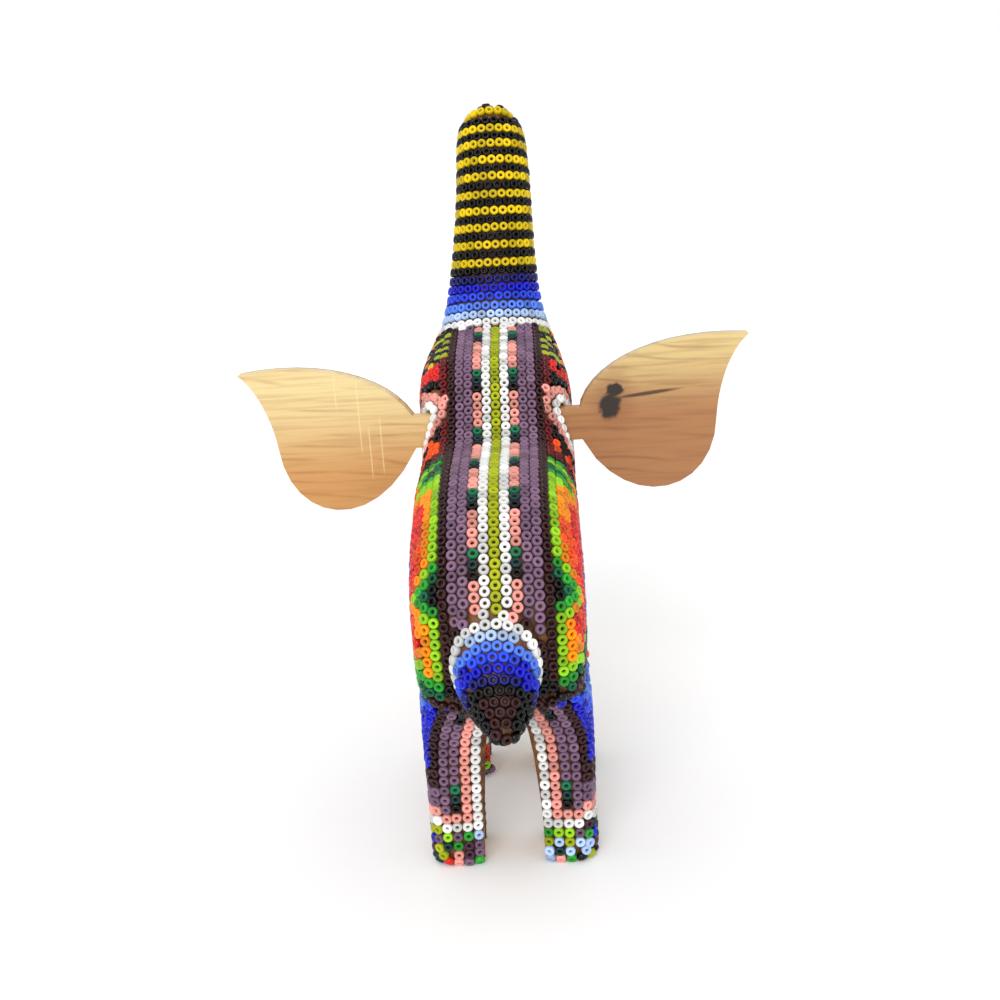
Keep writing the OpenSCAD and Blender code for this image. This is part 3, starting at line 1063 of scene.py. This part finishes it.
def body_wood():
    """Pale carved wood, with wax smeared over the hips where the wax coats stop."""
    material, tree, shader, (x, _, z), tone = grained_wood(
        "carved_wood", (218, 180, 126), (206, 164, 108), (168, 122, 74), (0, 60), (0.9, 0.9, 0.08))
    for sign in SIDES.values():
        smear = spot_mask(tree, x, z, (sign * 11.0, 42.0), (5.2, 5.5), 0.15)
        tone = blend(tree, smear, tone, (100, 60, 32))
    tree.links.new(tone, shader.inputs["Base Color"])
    return material


def wax_material():
    """Amber-brown beeswax, mottled where it was pressed."""
    material, tree, shader = node_material("beeswax")
    mottle = streaks(tree, place_in_mm(tree), (0.5, 0.5, 0.5), 4.0)
    tone = blend(tree, fade(tree, mottle, 0.35, 0.65), (84, 48, 24), (132, 84, 40))
    tree.links.new(tone, shader.inputs["Base Color"])
    shader.inputs["Roughness"].default_value = 0.5
    return material


def dress_nodes():
    wax = wax_material()
    looks = {"wood_body": body_wood(), "ear_left": left_ear_wood(), "ear_right": right_ear_wood()}
    for name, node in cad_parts.items():
        if "wax" in name:
            looks[name] = wax
    for name, material in looks.items():
        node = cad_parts[name]
        node.data.materials.clear()
        node.data.materials.append(material)


def studio():
    """Pale floor, a soft sun from behind the viewer and a white world."""
    scene = bpy.context.scene
    bpy.ops.mesh.primitive_plane_add(size=60.0, location=(0, 0, 0))
    floor = bpy.context.active_object
    floor.name = "floor"
    material, _, shader = node_material("floor_paper")
    shader.inputs["Base Color"].default_value = (0.92, 0.92, 0.92, 1)
    shader.inputs["Roughness"].default_value = 0.95
    shader.inputs["Specular IOR Level"].default_value = 0.1
    floor.data.materials.append(material)
    world = bpy.data.worlds.new("studio")
    world.use_nodes = True
    world.node_tree.nodes["Background"].inputs["Color"].default_value = (1, 1, 1, 1)
    world.node_tree.nodes["Background"].inputs["Strength"].default_value = 1.0
    scene.world = world
    light = bpy.data.lights.new("key", "SUN")
    light.angle = math.radians(40)
    light.energy = 1.3
    lamp = bpy.data.objects.new("key", light)
    lamp.rotation_euler = Vector((0.2, 1.0, -0.72)).to_track_quat("-Z", "Y").to_euler()
    scene.collection.objects.link(lamp)
    scene.view_settings.view_transform = "Standard"


CAMERA_AT = (10.2, -245.0, 140.7)
CAMERA_DIP, CAMERA_TURN, CAMERA_ROLL = 17.0, 2.4, 3.6
CAMERA_LENS = 43.0


def camera():
    """Behind the figure and a little above it, turned and rolled slightly."""
    data = bpy.data.cameras.new("camera")
    data.lens = CAMERA_LENS
    data.sensor_width = 36.0
    data.clip_start = 0.01
    viewer = bpy.data.objects.new("camera", data)
    viewer.location = Vector(CAMERA_AT) * MM
    dip, turn = math.radians(CAMERA_DIP), math.radians(CAMERA_TURN)
    look = Vector((-math.sin(turn) * math.cos(dip), math.cos(turn) * math.cos(dip), -math.sin(dip)))
    facing = look.to_track_quat("-Z", "Y").to_matrix()
    roll = Matrix.Rotation(math.radians(-CAMERA_ROLL), 3, "Z")
    viewer.rotation_euler = (facing @ roll).to_euler()
    bpy.context.scene.collection.objects.link(viewer)
    bpy.context.scene.camera = viewer


# ---------------------------------------------------------------- build
def place_body_beads():
    trunk_rings()
    tail_rings()
    for side in SIDES:
        slot_rings(side)
        eye(side)
    for side in SIDES:
        dress_leg("hind", side, 6.5)
        dress_leg("front", side, 41.5)
    body_columns()
    fill_gaps()


def add_piece(name, beads, body, nodes):
    piece = bead_piece(name, beads)
    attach(piece, body)
    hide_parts(*nodes)
    return piece


def bead_pieces():
    """One piece of real beads for each CAD bead area."""
    for node in BEAD_NODES:
        beads = store.groups[node]
        add_piece(node.replace("beads", "glass"), beads, "figure", [node])
    for side in SIDES:
        beads = dress_ear(side)
        add_piece(f"ear_{side}_glass", beads, f"ear_{side}_part", ["ear_beads_" + side])


camera()
studio()
dress_nodes()
place_body_beads()
bead_pieces()
